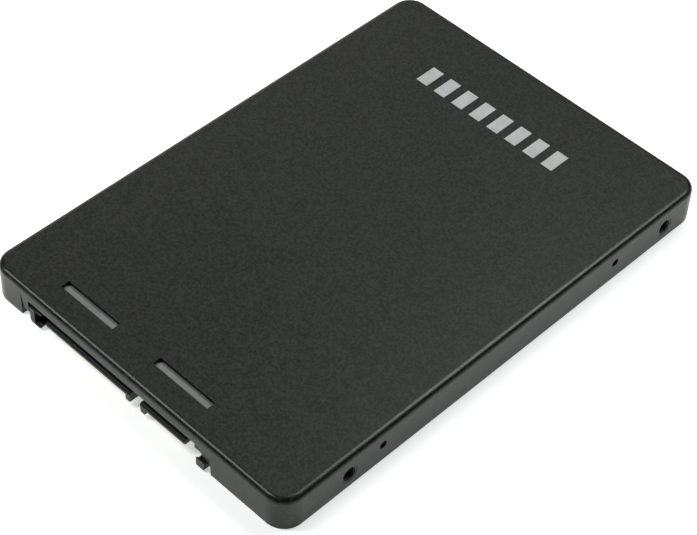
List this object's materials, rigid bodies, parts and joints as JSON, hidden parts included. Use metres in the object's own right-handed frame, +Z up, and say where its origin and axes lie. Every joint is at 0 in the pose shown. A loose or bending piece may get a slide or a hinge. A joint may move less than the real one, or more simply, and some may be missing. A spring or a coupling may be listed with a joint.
{
  "type": "solid state drive",
  "caption": "Slim 2.5-inch solid state drive in a black rounded metal case, with a serial data and power plug, two top slots and threaded side and bottom mounting holes.",
  "frame": {"origin": "centre of the case footprint, on the base plane", "axes": "+X across the width, +Y from the connector end to the rear end, +Z up from the base to the printed top plate"},
  "size_m": [0.0698, 0.1003, 0.007],
  "materials": {
    "shell_black": "satin black powder coat, fine grain",
    "cover_black": "dark satin coat",
    "rail_black": "black conversion coat, cast",
    "spring_steel": "plain spring steel",
    "plug_black": "moulded black liquid crystal polymer",
    "contact_gold": "gold plated",
    "clamp_steel": "dull grey pressed steel",
    "tin": "tin plated",
    "board_green": "green solder mask over glass epoxy",
    "chip_black": "moulded epoxy package",
    "inductor_grey": "ferrite",
    "capacitor_yellow": "moulded polymer capacitor",
    "ceramic_tan": "fired ceramic",
    "resistor_black": "glazed",
    "led_clear": "clear diffused resin",
    "pad_blue": "soft silicone heat pad",
    "film_amber": "polyimide film",
    "label_silver": "satin film label, blank",
    "screw_black": "black zinc",
    "screw_steel": "zinc plated",
    "print_silver": "silver grey pad-printed ink"
  },
  "bodies": {
    "root": {"top_shell": "shell_black", "bottom_cover": "cover_black", "rail_left": "rail_black", "rail_right": "rail_black", "snap_springs": "spring_steel", "connector_housing": "plug_black", "signal_contacts": "contact_gold", "power_contacts": "contact_gold", "board_locks": "tin", "connector_clamp": "clamp_steel", "main_board": "board_green", "controller_chip": "chip_black", "memory_chip_1": "chip_black", "memory_chip_2": "chip_black", "memory_chip_3": "chip_black", "memory_chip_4": "chip_black", "cache_chip": "chip_black", "power_manager_chip": "chip_black", "load_switch_chip": "chip_black", "boot_chip": "chip_black", "power_inductors": "inductor_grey", "holdup_capacitors": "capacitor_yellow", "ceramic_capacitors": "ceramic_tan", "chip_resistors": "resistor_black", "clock_crystal": "tin", "surge_diodes": "chip_black", "status_led": "led_clear", "controller_pad": "pad_blue", "memory_pad_front": "pad_blue", "memory_pad_rear": "pad_blue", "insulating_film": "film_amber", "bottom_label": "label_silver", "board_screws": "screw_steel", "cover_screws": "screw_black", "printed_bars": "print_silver"}
  },
  "joints": []
}
